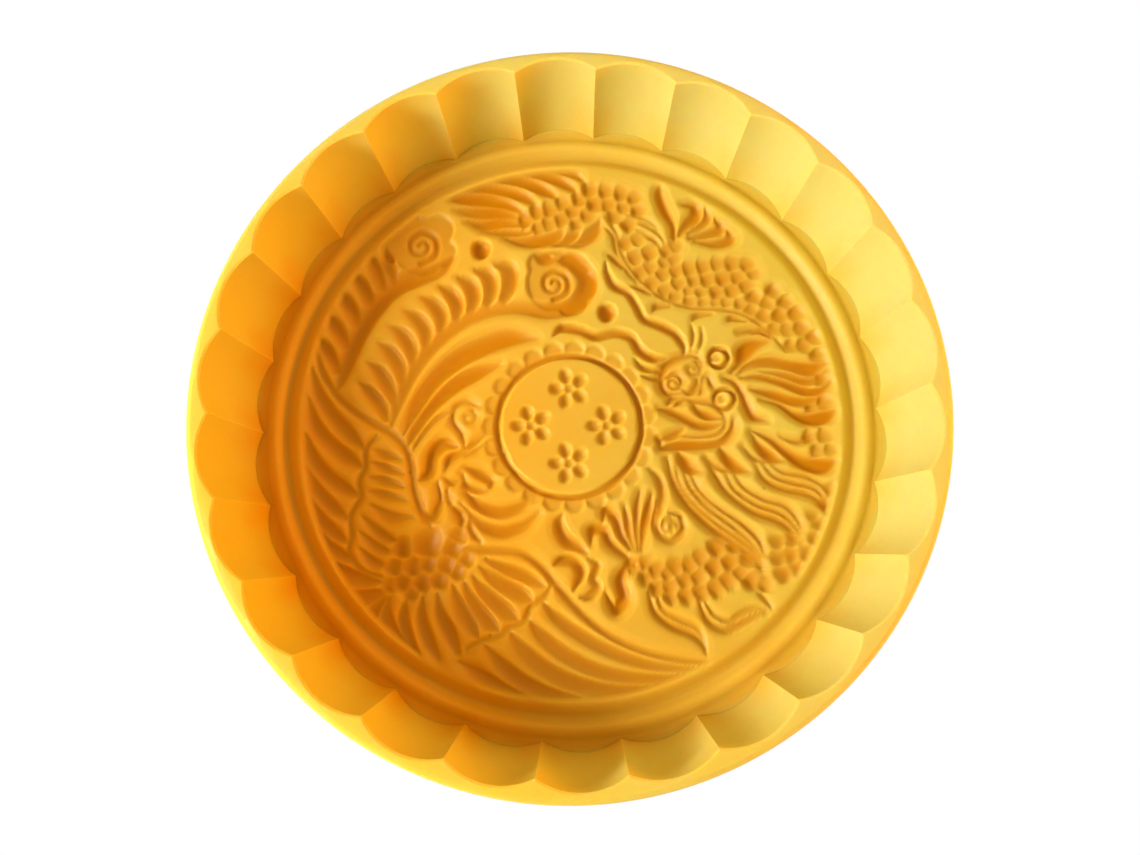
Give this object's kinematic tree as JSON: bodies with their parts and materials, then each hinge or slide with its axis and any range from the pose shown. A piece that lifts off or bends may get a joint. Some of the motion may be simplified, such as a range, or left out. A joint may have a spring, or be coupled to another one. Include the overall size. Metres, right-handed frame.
{
  "type": "mooncake mold",
  "caption": "Round one-piece silicone mooncake mold: fluted cup whose floor carries a carved dragon and phoenix round a central medallion.",
  "frame": {"origin": "centre of the flat underside", "axes": "+Z up out of the cavity, +X to the right and +Y up in the picture's view of the carving"},
  "size_m": [0.2, 0.2, 0.042],
  "materials": {
    "silicone": "translucent amber silicone, satin"
  },
  "bodies": {
    "root": {"mold": "silicone"}
  },
  "joints": []
}
